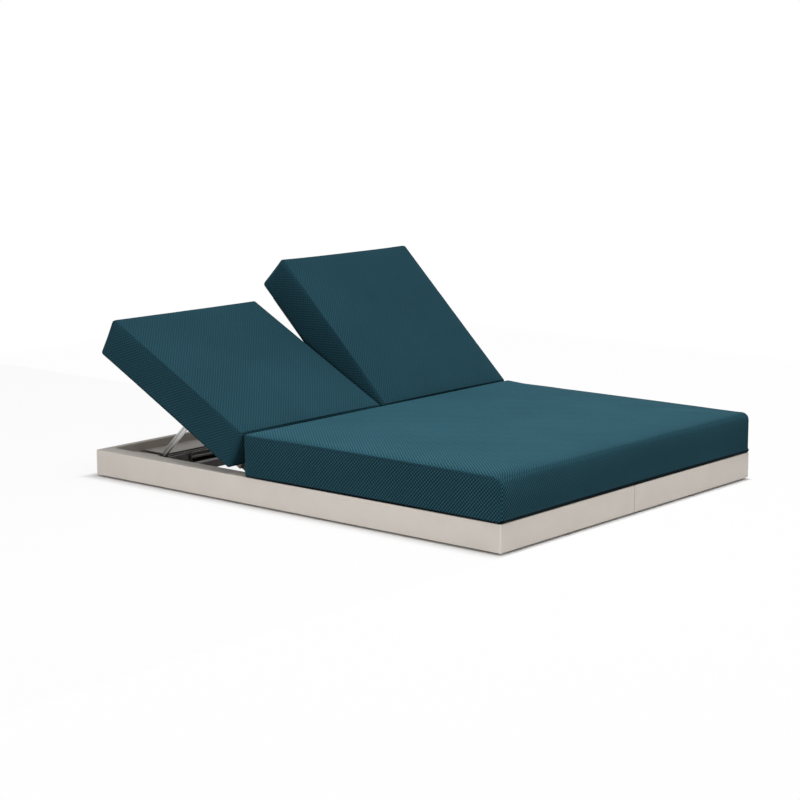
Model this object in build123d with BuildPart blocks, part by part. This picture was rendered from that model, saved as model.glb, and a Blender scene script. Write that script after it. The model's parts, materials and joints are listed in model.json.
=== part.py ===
"""Double chaise lounger: a low box-rail platform with one wide seat cushion and two reclining backs.

The origin is on the floor under the middle of the frame. +X points to the right seat as seen from the
foot end, +Y from the foot to the head, +Z up. Each back turns about its own hinge line, which lies in
the gap between the seat cushion and the back cushion, and stands on a pair of legs whose foot pins run
along toothed rack rails. All lengths are in millimetres and all angles in degrees.
"""

import os
from math import atan2, cos, hypot, radians, sin

from build123d import *

os.makedirs("parts", exist_ok=True)

# Platform
overall_length = 2000
overall_width = 1600
glide_height = 7
glide_radius = 14
rail_height = 100
rail_width = 70
end_rail_width = 30
rail_wall = 3
rail_edge = 3
seam_gap = 1
fit_gap = 0.3

# Inside the rails
bracket_arm = 120
bracket_thickness = 10
sleeve_length = 160
sleeve_wall = 4

# Under the seat
beam_width = 50
beam_height = 60
beam_wall = 3
centre_foot_radius = 25
ledge_leg = 30
ledge_wall = 3
slat_count = 7
slat_width = 80
slat_depth = 20
slat_wall = 2
slat_end_gap = 1
deck_margin = 20

# Cross members that carry the backs
hinge_beam_width = 40
hinge_beam_height = 60
crossmember_width = 30
crossmember_height = 30
crossmember_pin_gap = 18.7

# Sheet metal shelf at the head end
shelf_depth = 136
shelf_drop = 30
shelf_sheet = 3
shelf_flange = 16
shelf_lip = 6
shelf_slot_width = 40
shelf_slot_end_gap = 3

# Cushions
cushion_thickness = 158
cushion_crown = 5
cushion_edge = 20
cushion_draw = 3
cushion_gap = 0.3
seat_overhang = 7
seat_end_share = 0.594
hinge_cushion_gap = 9
back_head_gap = 3
back_cushion_overhang = 5
back_cushion_split = 4
crown_inset_shares = (0.15, 0.4, 0.7)
crown_height_shares = (0.5, 0.85, 1.0)
edge_angles = (0, 30, 60, 90)

# Hinges of the backs
hinge_rise = 135
hinge_pin_radius = 4
pin_clearance = 0.05
pin_head_radius = 6
pin_head_height = 2
pin_end_gap = 0.2
arm_width = 12
arm_thickness = 8
arm_tongue = 84
clevis_width = 14
clevis_plate = 5
clevis_side_gap = 0.5
clevis_below_beam = 3
clevis_web = 4
clevis_web_top_gap = 3
bolt_radius = 2.5
bolt_hole_clearance = 0.2
bolt_head_gap = 0.25
bolt_head_height = 5
bolt_pitch = 16
bolt_grip = 12

# Back frames, measured up the back from the hinge line
back_tube_depth = 20
back_tube_width = 25
back_tube_wall = 2
back_side_gap = 5
back_centre_gap = 10
back_frame_start = 17
back_frame_head_margin = 73
middle_rail_width = 30
back_slat_width = 30
back_slat_thickness = 8
bay_slat_count = 4
lug_plate = 4
lug_side_gap = 1
lug_radius = 9

# Legs of the backs
stay_drop = 18
stay_foot_gap = 65
stay_length_share = 0.438
stay_width = 20
stay_thickness = 12
stay_groove_width = 8
stay_groove_depth = 2
stay_brace_at = 70
stay_brace_radius = 5
stay_inset = 130
foot_pin_radius = 6
foot_pin_length = 26

# Rack rails
rack_sheet = 3
rack_inner_width = 16
rack_drop = 80
rack_tip_gap = 0.5
rack_tooth_depth = 5
rack_tooth_count = 9
rack_valley_share = 0.3
rack_front_lead = 22
rack_horn_gap = 0.5
rack_horn_width = 9

# Angles at rest and how the legs follow the backs
left_back_angle = 27.9
right_back_angle = 44.3
back_angle_max = 44.3
rack_first_angle = 20
stay_angle_share = 1.6
stay_angle_offset = -0.3

# Places that follow from the sizes above
half_length = overall_length / 2
half_width = overall_width / 2
inner_half_length = half_length - end_rail_width
inner_half_width = half_width - rail_width
seat_end_y = seat_end_share * overall_length - half_length
pivot_y = seat_end_y + hinge_cushion_gap
back_cushion_length = half_length - back_head_gap - pivot_y - hinge_cushion_gap
back_frame_end = hinge_cushion_gap + back_cushion_length - back_frame_head_margin
stay_reach = inner_half_length - pivot_y - stay_foot_gap
stay_length = stay_length_share * stay_reach
middle_rail_centre = stay_reach - stay_length
rail_base = glide_height
rail_top = rail_base + rail_height
rail_mid = rail_base + rail_height / 2
deck_base = rail_top - slat_depth
beam_base = deck_base - beam_height
hinge_beam_y = pivot_y - clevis_width / 2 - hinge_beam_width / 2
hinge_beam_head_y = hinge_beam_y + hinge_beam_width / 2
hinge_beam_foot_y = hinge_beam_y - hinge_beam_width / 2
pivot_z = rail_top + hinge_rise
rack_base_z = rail_top - rack_drop
shelf_top = rail_top - shelf_drop
cushion_base = rail_top + cushion_gap
frame_top_w = -hinge_rise
frame_base_w = frame_top_w - back_tube_depth
stay_pivot_w = frame_base_w - stay_drop
outer_stile_x = inner_half_width - back_side_gap - back_tube_width / 2
inner_stile_x = beam_width / 2 + back_centre_gap + back_tube_width / 2
stay_outer_x = outer_stile_x + back_tube_width / 2 - stay_inset
stay_inner_x = inner_stile_x - back_tube_width / 2 + stay_inset
clevis_outer_half = arm_thickness / 2 + clevis_side_gap + clevis_plate
bolt_hole_radius = bolt_radius + bolt_hole_clearance
clevis_base_z = rail_top - hinge_beam_height + clevis_below_beam
clevis_web_top = deck_base - clevis_web_top_gap
bolt_mid_z = (clevis_base_z + clevis_web_top) / 2
bolt_levels = (bolt_mid_z - bolt_pitch / 2, bolt_mid_z + bolt_pitch / 2)

sides = {"left": -1, "right": 1}
back_angles = {"left": left_back_angle, "right": right_back_angle}
hinge_places = {"outer": outer_stile_x, "inner": inner_stile_x}
stay_places = {"outer": stay_outer_x, "inner": stay_inner_x}


def write(piece, name):
    """Names a finished piece and writes it."""
    piece.part.label = name
    export_step(piece.part, f"parts/{name}.step")


def back_point(angle, u, w):
    """Y and Z of the point u up the back and w out from it, with the hinge line as zero."""
    turn = radians(angle)
    return (
        pivot_y + u * cos(turn) - w * sin(turn),
        pivot_z + u * sin(turn) + w * cos(turn),
    )


def back_side_plane(x, angle, u=0, w=0):
    """Plane square to X whose first axis runs up the back and whose second points out of it."""
    y, z = back_point(angle, u, w)
    turn = radians(angle)
    return Plane(origin=(x, y, z), x_dir=(0, cos(turn), sin(turn)), z_dir=(1, 0, 0))


def back_end_plane(x, angle, u, w):
    """Plane square to the back's length, looking up it."""
    y, z = back_point(angle, u, w)
    turn = radians(angle)
    return Plane(origin=(x, y, z), x_dir=(1, 0, 0), z_dir=(0, cos(turn), sin(turn)))


def stay_angle(angle):
    """How far the legs point below level when the back stands at angle."""
    return stay_angle_offset + stay_angle_share * angle


def stay_point(angle, along):
    """Y and Z of a point on a leg's middle line, along it from its pivot."""
    y, z = back_point(angle, middle_rail_centre, stay_pivot_w)
    dip = radians(stay_angle(angle))
    return y + along * cos(dip), z - along * sin(dip)


def stay_plane(x, angle):
    """Plane square to X at a leg's pivot, whose first axis runs down the leg."""
    y, z = stay_point(angle, 0)
    dip = radians(stay_angle(angle))
    return Plane(origin=(x, y, z), x_dir=(0, cos(dip), -sin(dip)), z_dir=(1, 0, 0))


last_pin_y, last_pin_z = stay_point(back_angle_max, stay_length)
crossmember_y = last_pin_y - crossmember_pin_gap


# Perimeter rails: hollow box extrusions, mitred at the corners, the end rails in two halves
def rail_profile(plane, width):
    """The section of a rail: a box with slightly rounded edges."""
    with BuildSketch(plane) as profile:
        RectangleRounded(width, rail_height, rail_edge)
        Rectangle(width - 2 * rail_wall, rail_height - 2 * rail_wall, mode=Mode.SUBTRACT)
    return profile.sketch


for side, sx in sides.items():
    rail_x = sx * (half_width - rail_width / 2)
    with BuildPart() as side_rail:
        start = Plane(origin=(rail_x, -half_length, rail_mid), x_dir=(1, 0, 0), z_dir=(0, 1, 0))
        extrude(rail_profile(start, rail_width), amount=overall_length)
        for sy in (-1, 1):
            mitre = (sx * end_rail_width, -sy * rail_width, 0)
            corner = Plane(origin=(sx * half_width, sy * half_length, 0), z_dir=mitre)
            split(bisect_by=corner, keep=Keep.TOP)
    write(side_rail, f"side_rail_{side}")

    for end, sy in (("foot", -1), ("head", 1)):
        rail_y = sy * (half_length - end_rail_width / 2)
        with BuildPart() as end_rail:
            start = Plane(
                origin=(sx * seam_gap / 2, rail_y, rail_mid), x_dir=(0, 1, 0), z_dir=(sx, 0, 0)
            )
            extrude(rail_profile(start, end_rail_width), amount=half_width - seam_gap / 2)
            mitre = (-sx * end_rail_width, sy * rail_width, 0)
            corner = Plane(origin=(sx * half_width, sy * half_length, 0), z_dir=mitre)
            split(bisect_by=corner, keep=Keep.TOP)
        write(end_rail, f"{end}_rail_{side}")

# Corner brackets: flat angle plates lying on the rails' bottom walls, through each mitre
bracket_end_width = end_rail_width - 2 * rail_wall - 2 * fit_gap
bracket_side_width = rail_width - 2 * rail_wall * rail_width / end_rail_width - 2 * fit_gap
with BuildPart() as corner_brackets:
    with BuildSketch(Plane.XY.offset(rail_base + rail_wall)):
        for sx in (-1, 1):
            for sy in (-1, 1):
                corner_x = sx * (half_width - rail_width / 2)
                corner_y = sy * (half_length - end_rail_width / 2)
                with Locations((corner_x - sx * bracket_arm / 2, corner_y)):
                    Rectangle(bracket_side_width + bracket_arm, bracket_end_width)
                with Locations((corner_x, corner_y - sy * bracket_arm / 2)):
                    Rectangle(bracket_side_width, bracket_end_width + bracket_arm)
    extrude(amount=bracket_thickness)
write(corner_brackets, "corner_brackets")

# Splice sleeves: box sleeves that join the two halves of the foot and head rails
sleeve_width = end_rail_width - 2 * rail_wall - 2 * fit_gap
sleeve_height = rail_height - 2 * rail_wall - 2 * fit_gap
with BuildPart() as splice_sleeves:
    with BuildSketch(Plane.YZ.offset(-sleeve_length / 2)):
        with Locations(
            (half_length - end_rail_width / 2, rail_mid), (end_rail_width / 2 - half_length, rail_mid)
        ):
            Rectangle(sleeve_width, sleeve_height)
            Rectangle(sleeve_width - 2 * sleeve_wall, sleeve_height - 2 * sleeve_wall, mode=Mode.SUBTRACT)
    extrude(amount=sleeve_length)
write(splice_sleeves, "splice_sleeves")

# Centre beams: box tubes down the middle, before and behind the hinge beam
beam_spans = {
    "foot": (-inner_half_length, hinge_beam_foot_y),
    "head": (hinge_beam_head_y, inner_half_length),
}
for end, (start_y, stop_y) in beam_spans.items():
    with BuildPart() as centre_beam:
        with BuildSketch(Plane.XZ.offset(-start_y)):
            with Locations((0, beam_base + beam_height / 2)):
                Rectangle(beam_width, beam_height)
                Rectangle(beam_width - 2 * beam_wall, beam_height - 2 * beam_wall, mode=Mode.SUBTRACT)
        extrude(amount=start_y - stop_y)
    write(centre_beam, f"centre_beam_{end}")

# Hinge beam: a box tube across the frame, drilled for the hinge brackets' bolts
with BuildPart() as hinge_beam:
    with BuildSketch(Plane.YZ.offset(-inner_half_width)):
        with Locations((hinge_beam_y, rail_top - hinge_beam_height / 2)):
            Rectangle(hinge_beam_width, hinge_beam_height)
            Rectangle(
                hinge_beam_width - 2 * beam_wall, hinge_beam_height - 2 * beam_wall, mode=Mode.SUBTRACT
            )
    extrude(amount=2 * inner_half_width)
    with BuildSketch(Plane.XZ.offset(-hinge_beam_head_y)):
        for sx in (-1, 1):
            for place_x in hinge_places.values():
                with Locations(*[(sx * place_x, level) for level in bolt_levels]):
                    Circle(bolt_hole_radius)
    extrude(amount=beam_wall, mode=Mode.SUBTRACT)
write(hinge_beam, "hinge_beam")

# Rear cross members: box tubes that carry the front ends of the rack rails
with BuildPart() as rear_crossmembers:
    for sx in (-1, 1):
        with BuildSketch(Plane.YZ.offset(sx * beam_width / 2)):
            with Locations((crossmember_y, rack_base_z + crossmember_height / 2)):
                Rectangle(crossmember_width, crossmember_height)
                Rectangle(
                    crossmember_width - 2 * beam_wall,
                    crossmember_height - 2 * beam_wall,
                    mode=Mode.SUBTRACT,
                )
        extrude(amount=sx * (inner_half_width - beam_width / 2))
write(rear_crossmembers, "rear_crossmembers")

# Seat ledges: angle strips on the side rails' inner faces
for side, sx in sides.items():
    with BuildPart() as seat_ledge:
        with BuildSketch(Plane.XZ.offset(inner_half_length)):
            with Locations((sx * (inner_half_width - ledge_leg / 2), deck_base - ledge_wall / 2)):
                Rectangle(ledge_leg, ledge_wall)
            with Locations((sx * (inner_half_width - ledge_wall / 2), deck_base - ledge_leg / 2)):
                Rectangle(ledge_wall, ledge_leg)
        extrude(amount=-(inner_half_length + hinge_beam_foot_y))
    write(seat_ledge, f"seat_ledge_{side}")

# Seat slats: flat box tubes across the frame, on the ledges and the centre beam
slat_first_y = -inner_half_length + deck_margin + slat_width / 2
slat_last_y = hinge_beam_foot_y - deck_margin - slat_width / 2
slat_pitch = (slat_last_y - slat_first_y) / (slat_count - 1)
for number in range(slat_count):
    with BuildPart() as seat_slat:
        with BuildSketch(Plane.YZ.offset(slat_end_gap - inner_half_width)):
            with Locations((slat_first_y + number * slat_pitch, deck_base + slat_depth / 2)):
                Rectangle(slat_width, slat_depth)
                Rectangle(slat_width - 2 * slat_wall, slat_depth - 2 * slat_wall, mode=Mode.SUBTRACT)
        extrude(amount=2 * (inner_half_width - slat_end_gap))
    write(seat_slat, f"seat_slat_{number + 1}")

# Glides under the rails and the foot under the middle of the centre beam
glide_x = half_width - rail_width / 2
glide_y = half_length - end_rail_width / 2
with BuildPart() as glides:
    with BuildSketch(Plane.XY):
        with GridLocations(2 * glide_x, 2 * (half_length - 2 * rail_width) / 3, 2, 4):
            Circle(glide_radius)
        with GridLocations(half_width, 2 * glide_y, 2, 2):
            Circle(glide_radius)
    extrude(amount=glide_height)
write(glides, "glides")

with BuildPart() as centre_foot:
    with BuildSketch(Plane.XY):
        Circle(centre_foot_radius)
    extrude(amount=beam_base)
write(centre_foot, "centre_foot")

# Hinge brackets: clevises on the hinge beam's back face that hold the hinge pins
for side, sx in sides.items():
    for place, place_x in hinge_places.items():
        centre_x = sx * place_x
        with BuildPart() as bracket:
            with BuildSketch(Plane.YZ.offset(centre_x)):
                with BuildLine():
                    Polyline(
                        (pivot_y - clevis_width / 2, pivot_z),
                        (pivot_y - clevis_width / 2, clevis_base_z),
                        (pivot_y + clevis_width / 2, clevis_base_z),
                        (pivot_y + clevis_width / 2, pivot_z),
                    )
                    ThreePointArc(
                        (pivot_y + clevis_width / 2, pivot_z),
                        (pivot_y, pivot_z + clevis_width / 2),
                        (pivot_y - clevis_width / 2, pivot_z),
                    )
                make_face()
            extrude(amount=clevis_outer_half, both=True)
            with BuildSketch(Plane.YZ.offset(centre_x)):
                with BuildLine():
                    Polyline(
                        (hinge_beam_head_y, pivot_z + clevis_width),
                        (hinge_beam_head_y, clevis_web_top),
                        (hinge_beam_head_y + clevis_web, clevis_web_top),
                        (hinge_beam_head_y + clevis_web, clevis_base_z),
                        (pivot_y + clevis_width, clevis_base_z),
                        (pivot_y + clevis_width, pivot_z + clevis_width),
                        close=True,
                    )
                make_face()
            extrude(amount=clevis_outer_half - clevis_plate, both=True, mode=Mode.SUBTRACT)
            with BuildSketch(Plane.YZ.offset(centre_x)):
                with Locations((pivot_y, pivot_z)):
                    Circle(hinge_pin_radius + pin_clearance)
            extrude(amount=clevis_outer_half, both=True, mode=Mode.SUBTRACT)
            with BuildSketch(Plane.XZ.offset(-hinge_beam_head_y - clevis_web)):
                with Locations(*[(centre_x, level) for level in bolt_levels]):
                    Circle(bolt_hole_radius)
            extrude(amount=clevis_web, mode=Mode.SUBTRACT)
        write(bracket, f"hinge_bracket_{side}_{place}")

# Hinge pins: a plain pin with a head at each end, through each clevis
pin_half = clevis_outer_half + pin_end_gap
with BuildPart() as hinge_pins:
    for sx in (-1, 1):
        for place_x in hinge_places.values():
            with BuildSketch(Plane.YZ.offset(sx * place_x)):
                with Locations((pivot_y, pivot_z)):
                    Circle(hinge_pin_radius)
            extrude(amount=pin_half, both=True)
            for end in (-1, 1):
                with BuildSketch(Plane.YZ.offset(sx * place_x + end * pin_half)):
                    with Locations((pivot_y, pivot_z)):
                        Circle(pin_head_radius)
                extrude(amount=end * pin_head_height)
write(hinge_pins, "hinge_pins")

# Bracket bolts: round heads on the brackets' webs, shanks into the hinge beam
bolt_head_radius = clevis_outer_half - clevis_plate - bolt_head_gap
with BuildPart() as bracket_bolts:
    head_y = hinge_beam_head_y + clevis_web
    for sx in (-1, 1):
        for place_x in hinge_places.values():
            spots = [(sx * place_x, level) for level in bolt_levels]
            with BuildSketch(Plane.XZ.offset(-head_y)):
                with Locations(*spots):
                    Circle(bolt_head_radius)
            extrude(amount=-bolt_head_height)
            with BuildSketch(Plane.XZ.offset(-head_y)):
                with Locations(*spots):
                    Circle(bolt_radius)
            extrude(amount=bolt_grip)
write(bracket_bolts, "bracket_bolts")

# Head shelves: folded sheets between the rails, with slots for the legs of the backs
shelf_front = inner_half_length - shelf_depth
for side, sx in sides.items():
    with BuildPart() as head_shelf:
        with BuildSketch(Plane.YZ.offset(sx * beam_width / 2)):
            with BuildLine():
                Polyline(
                    (inner_half_length, shelf_top),
                    (shelf_front, shelf_top),
                    (shelf_front, shelf_top - shelf_flange + shelf_sheet),
                    (shelf_front - shelf_lip, shelf_top - shelf_flange + shelf_sheet),
                    (shelf_front - shelf_lip, shelf_top - shelf_flange),
                    (shelf_front + shelf_sheet, shelf_top - shelf_flange),
                    (shelf_front + shelf_sheet, shelf_top - shelf_sheet),
                    (inner_half_length - shelf_sheet, shelf_top - shelf_sheet),
                    (inner_half_length - shelf_sheet, shelf_top - shelf_flange),
                    (inner_half_length, shelf_top - shelf_flange),
                    close=True,
                )
            make_face()
        extrude(amount=sx * (inner_half_width - beam_width / 2))
        slot_start = shelf_front - shelf_lip
        slot_stop = inner_half_length - shelf_sheet - shelf_slot_end_gap
        with BuildSketch(Plane.XY.offset(shelf_top)):
            for place_x in stay_places.values():
                with Locations((sx * place_x, (slot_start + slot_stop) / 2)):
                    Rectangle(shelf_slot_width, slot_stop - slot_start)
        extrude(amount=-shelf_flange, mode=Mode.SUBTRACT)
    write(head_shelf, f"head_shelf_{side}")

# Rack rails: folded channels whose two toothed flanges follow the path of the legs' foot pins
tip_reach = foot_pin_radius + rack_tip_gap


def rack_tip(angle):
    """The point under the foot pin's path, square to it, that a tooth's tip just clears."""
    y, z = stay_point(angle, stay_length)
    next_y, next_z = stay_point(angle + 1, stay_length)
    run = hypot(next_y - y, next_z - z)
    return y - tip_reach * (next_z - z) / run, z + tip_reach * (next_y - y) / run


tooth_step = (back_angle_max - rack_first_angle) / (rack_tooth_count - 1)
tooth_angles = [rack_first_angle + number * tooth_step for number in range(rack_tooth_count)]
tips = [rack_tip(angle) for angle in tooth_angles]
rack_outline = []
for (y, z), (next_y, next_z) in zip(tips, tips[1:]):
    slope = atan2(next_z - z, next_y - y)
    valley_y = y + rack_valley_share * (next_y - y) - rack_tooth_depth * sin(slope)
    valley_z = z + rack_valley_share * (next_z - z) - rack_tooth_depth * abs(cos(slope))
    rack_outline += [(y, z), (valley_y, valley_z)]
rack_outline.append(tips[-1])
horn_y = last_pin_y - foot_pin_radius - rack_horn_gap
crossmember_head_y = crossmember_y + crossmember_width / 2
crossmember_top = rack_base_z + crossmember_height
rack_outline += [
    (horn_y, tips[-1][1]),
    (horn_y, last_pin_z),
    (horn_y - rack_horn_width, last_pin_z),
    (crossmember_head_y - rack_front_lead, crossmember_top),
    (crossmember_head_y, crossmember_top),
    (crossmember_head_y, rack_base_z),
    (inner_half_length, rack_base_z),
    (inner_half_length, tips[0][1]),
]
rack_half = rack_inner_width / 2 + rack_sheet
for side, sx in sides.items():
    with BuildPart() as rack_rails:
        for place_x in stay_places.values():
            with BuildSketch(Plane.YZ.offset(sx * place_x)):
                with BuildLine():
                    Polyline(*rack_outline, close=True)
                make_face()
            extrude(amount=rack_half, both=True)
            with BuildSketch(Plane.XY.offset(rack_base_z + rack_sheet)):
                with Locations((sx * place_x, 0)):
                    Rectangle(rack_inner_width, overall_length)
            extrude(amount=rail_height, mode=Mode.SUBTRACT)
    write(rack_rails, f"rack_rails_{side}")


# Cushions: foam blocks wrapped in fabric, with rounded edges, a low crown and drawn-in sides
def cushion(base, width, length):
    """Lofts the block upwards from the base plane, which lies at the middle of its underside."""
    levels = []
    for turn in edge_angles:
        rise = cushion_edge * (1 - cos(radians(turn)))
        levels.append((rise, cushion_edge * (1 - sin(radians(turn)))))
    levels += [(cushion_thickness - rise, inset) for rise, inset in reversed(levels)]
    reach = min(width, length) / 2 - cushion_edge
    for inset_share, height_share in zip(crown_inset_shares, crown_height_shares):
        crown_height = cushion_thickness + cushion_crown * height_share
        levels.append((crown_height, cushion_edge + reach * inset_share))
    with BuildPart() as block:
        for height, inset in levels:
            half_x = width / 2 - inset
            half_y = length / 2 - inset
            near_x = half_x - cushion_edge
            near_y = half_y - cushion_edge
            diagonal = cushion_edge * cos(radians(45))
            with BuildSketch(base.offset(height)):
                with BuildLine():
                    ThreePointArc((half_x, -near_y), (half_x - cushion_draw, 0), (half_x, near_y))
                    ThreePointArc(
                        (half_x, near_y), (near_x + diagonal, near_y + diagonal), (near_x, half_y)
                    )
                    ThreePointArc((near_x, half_y), (0, half_y - cushion_draw), (-near_x, half_y))
                    ThreePointArc(
                        (-near_x, half_y), (-near_x - diagonal, near_y + diagonal), (-half_x, near_y)
                    )
                    ThreePointArc((-half_x, near_y), (cushion_draw - half_x, 0), (-half_x, -near_y))
                    ThreePointArc(
                        (-half_x, -near_y), (-near_x - diagonal, -near_y - diagonal), (-near_x, -half_y)
                    )
                    ThreePointArc((-near_x, -half_y), (0, cushion_draw - half_y), (near_x, -half_y))
                    ThreePointArc(
                        (near_x, -half_y), (near_x + diagonal, -near_y - diagonal), (half_x, -near_y)
                    )
                make_face()
        loft(ruled=True)
    return block


seat_start_y = -half_length - seat_overhang
seat_middle_y = (seat_start_y + seat_end_y) / 2
seat_cushion = cushion(
    Plane(origin=(0, seat_middle_y, cushion_base)),
    overall_width + 2 * seat_overhang,
    seat_end_y - seat_start_y,
)
write(seat_cushion, "seat_cushion")

# Backs: each is a tube frame with slats, its hinge arms, its leg pivots and its cushion
back_span = outer_stile_x - inner_stile_x - back_tube_width
back_middle_x = (outer_stile_x + inner_stile_x) / 2
tube_middle_w = frame_base_w + back_tube_depth / 2
back_rails = {
    "foot": (back_frame_start + back_tube_width / 2, back_tube_width, False),
    "middle": (middle_rail_centre, middle_rail_width, True),
    "head": (back_frame_end - back_tube_width / 2, back_tube_width, False),
}
back_bays = (
    (back_frame_start + back_tube_width, middle_rail_centre - middle_rail_width / 2),
    (middle_rail_centre + middle_rail_width / 2, back_frame_end - back_tube_width),
)
for side, sx in sides.items():
    angle = back_angles[side]

    # Stiles: the long box tubes at the sides of the back frame
    for place, place_x in hinge_places.items():
        with BuildPart() as stile:
            with BuildSketch(back_end_plane(sx * place_x, angle, back_frame_start, tube_middle_w)):
                Rectangle(back_tube_width, back_tube_depth)
                Rectangle(
                    back_tube_width - 2 * back_tube_wall,
                    back_tube_depth - 2 * back_tube_wall,
                    mode=Mode.SUBTRACT,
                )
            extrude(amount=back_frame_end - back_frame_start)
        write(stile, f"back_stile_{side}_{place}")

    # Cross rails between the stiles; the middle one carries the lugs of the legs
    for place, (centre_u, width, has_lugs) in back_rails.items():
        with BuildPart() as cross_rail:
            with BuildSketch(back_side_plane(sx * back_middle_x, angle, centre_u, tube_middle_w)):
                Rectangle(width, back_tube_depth)
                Rectangle(
                    width - 2 * back_tube_wall,
                    back_tube_depth - 2 * back_tube_wall,
                    mode=Mode.SUBTRACT,
                )
            extrude(amount=back_span / 2, both=True)
            if has_lugs:
                for stay_x in stay_places.values():
                    for lug_side in (-1, 1):
                        lug_x = stay_thickness / 2 + lug_side_gap + lug_plate / 2
                        lug_plane = back_side_plane(
                            sx * stay_x + lug_side * lug_x, angle, centre_u, stay_pivot_w
                        )
                        with BuildSketch(lug_plane):
                            with BuildLine():
                                Polyline(
                                    (-lug_radius, 0),
                                    (-lug_radius, stay_drop),
                                    (lug_radius, stay_drop),
                                    (lug_radius, 0),
                                )
                                ThreePointArc((lug_radius, 0), (0, -lug_radius), (-lug_radius, 0))
                            make_face()
                            Circle(hinge_pin_radius + pin_clearance, mode=Mode.SUBTRACT)
                        extrude(amount=lug_plate / 2, both=True)
        write(cross_rail, f"back_rail_{side}_{place}")

    # Slats: flat bars between the stiles, evenly spaced in each bay, flush with the top of the frame
    with BuildPart() as back_slats:
        slat_w = frame_top_w - back_slat_thickness / 2
        for bay_start, bay_end in back_bays:
            bay_gap = (bay_end - bay_start - bay_slat_count * back_slat_width) / (bay_slat_count + 1)
            for number in range(bay_slat_count):
                slat_u = bay_start + (number + 1) * (bay_gap + back_slat_width) - back_slat_width / 2
                with BuildSketch(back_side_plane(sx * back_middle_x, angle, slat_u, slat_w)):
                    Rectangle(back_slat_width, back_slat_thickness)
                extrude(amount=back_span / 2, both=True)
    write(back_slats, f"back_slats_{side}")

    # Hinge arms: flat cranked bars, from a tongue inside each stile up to the hinge pin
    tongue_half = back_tube_depth / 2 - back_tube_wall - fit_gap
    for place, place_x in hinge_places.items():
        with BuildPart() as arm:
            with BuildSketch(back_side_plane(sx * place_x, angle)):
                with BuildLine():
                    Polyline(
                        (-arm_width / 2, 0),
                        (-arm_width / 2, tube_middle_w - tongue_half),
                        (back_frame_start + arm_tongue, tube_middle_w - tongue_half),
                        (back_frame_start + arm_tongue, tube_middle_w + tongue_half),
                        (arm_width / 2, tube_middle_w + tongue_half),
                        (arm_width / 2, 0),
                    )
                    ThreePointArc((arm_width / 2, 0), (0, arm_width / 2), (-arm_width / 2, 0))
                make_face()
                Circle(hinge_pin_radius + pin_clearance, mode=Mode.SUBTRACT)
            extrude(amount=arm_thickness / 2, both=True)
        write(arm, f"hinge_arm_{side}_{place}")

    # Pivot pins of the legs, through the lugs
    lug_outer = stay_thickness / 2 + lug_side_gap + lug_plate + pin_end_gap
    with BuildPart() as stay_pins:
        for stay_x in stay_places.values():
            pin_plane = back_side_plane(sx * stay_x, angle, middle_rail_centre, stay_pivot_w)
            with BuildSketch(pin_plane):
                Circle(hinge_pin_radius)
            extrude(amount=lug_outer, both=True)
            for end in (-1, 1):
                with BuildSketch(pin_plane.offset(end * lug_outer)):
                    Circle(pin_head_radius)
                extrude(amount=end * pin_head_height)
    write(stay_pins, f"stay_pins_{side}")

    # Legs: grooved flat bars with a foot pin across their lower ends
    for place, stay_x in stay_places.items():
        with BuildPart() as leg:
            leg_plane = stay_plane(sx * stay_x, angle)
            with BuildSketch(leg_plane):
                with Locations((stay_length / 2, 0)):
                    SlotOverall(stay_length + stay_width, stay_width)
                Circle(hinge_pin_radius + pin_clearance, mode=Mode.SUBTRACT)
            extrude(amount=stay_thickness / 2, both=True)
            for face in (-1, 1):
                with BuildSketch(leg_plane.offset(face * stay_thickness / 2)):
                    with Locations((stay_length / 2, 0)):
                        SlotOverall(stay_length - 2 * stay_width, stay_groove_width)
                extrude(amount=-face * stay_groove_depth, mode=Mode.SUBTRACT)
            with BuildSketch(leg_plane):
                with Locations((stay_length, 0)):
                    Circle(foot_pin_radius)
            extrude(amount=foot_pin_length / 2, both=True)
        write(leg, f"stay_leg_{side}_{place}")

    # Brace: a round bar between the two legs
    brace_y, brace_z = stay_point(angle, stay_brace_at)
    brace_half = (stay_outer_x - stay_inner_x - stay_thickness) / 2
    with BuildPart() as brace:
        with BuildSketch(Plane.YZ.offset(sx * (stay_outer_x + stay_inner_x) / 2)):
            with Locations((brace_y, brace_z)):
                Circle(stay_brace_radius)
        extrude(amount=brace_half, both=True)
    write(brace, f"stay_brace_{side}")

    # Back cushion: lies on the slats with its lower end just clear of the hinge line
    cushion_outer_x = half_width + back_cushion_overhang
    cushion_inner_x = back_cushion_split / 2
    cushion_u = hinge_cushion_gap + back_cushion_length / 2
    cushion_y, cushion_z = back_point(angle, cushion_u, frame_top_w + cushion_gap)
    turn = radians(angle)
    back_cushion = cushion(
        Plane(
            origin=(sx * (cushion_outer_x + cushion_inner_x) / 2, cushion_y, cushion_z),
            x_dir=(1, 0, 0),
            z_dir=(0, -sin(turn), cos(turn)),
        ),
        cushion_outer_x - cushion_inner_x,
        back_cushion_length,
    )
    write(back_cushion, f"back_cushion_{side}")

for angle in (0, left_back_angle, right_back_angle):
    foot_y, foot_z = stay_point(angle, stay_length)
    print(f"back at {angle}: foot pin at y {foot_y:.1f}, z {foot_z:.1f}, leg {stay_angle(angle):.1f} below level")
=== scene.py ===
import json
import math

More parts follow.
